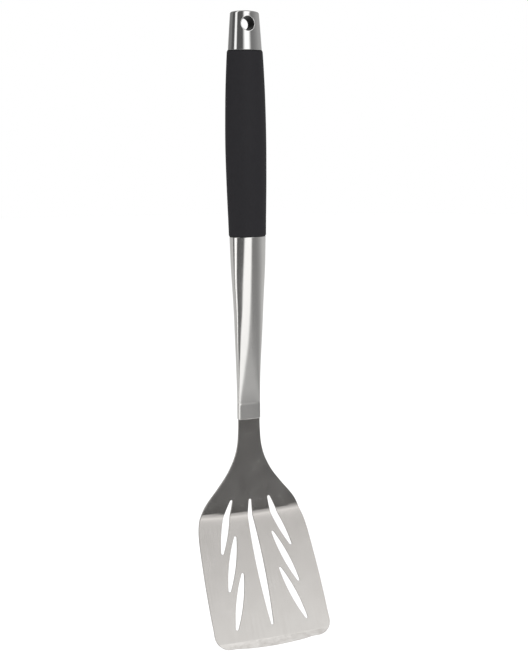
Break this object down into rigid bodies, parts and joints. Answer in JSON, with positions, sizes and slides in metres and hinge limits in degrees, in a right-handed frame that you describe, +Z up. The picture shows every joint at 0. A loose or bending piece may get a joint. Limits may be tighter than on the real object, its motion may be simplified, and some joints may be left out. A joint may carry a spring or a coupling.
{
  "type": "grill spatula",
  "caption": "Long-handled slotted turner with a bent stainless blade, tapered tubular shaft, soft black oval grip and a drawn metal end cap with a hanging hole.",
  "frame": {"origin": "centre of the hanging hole, on the handle axis", "axes": "+Z runs up the handle towards the end cap, so the tool hangs as modelled; +Y is the hanging hole's axis and points out of the underside, -Y is the food side towards which the blade bends; +X across the blade"},
  "size_m": [0.0864, 0.0601, 0.4325],
  "materials": {
    "satin_sheet_steel": "satin brushed stainless sheet",
    "polished_tube_steel": "polished stainless tube",
    "weld_steel": "cleaned weld fillet",
    "liner_plastic": "moulded, near black",
    "soft_grip": "soft-touch matt charcoal",
    "polished_cap_steel": "polished drawn stainless",
    "plug_plastic": "glossy moulded black"
  },
  "bodies": {
    "root": {"blade": "satin_sheet_steel", "shaft_tube": "polished_tube_steel", "mouth_weld_bead": "weld_steel", "grip_core": "liner_plastic", "grip_sleeve": "soft_grip", "end_cap": "polished_cap_steel", "hanger_plug": "plug_plastic"}
  },
  "joints": []
}
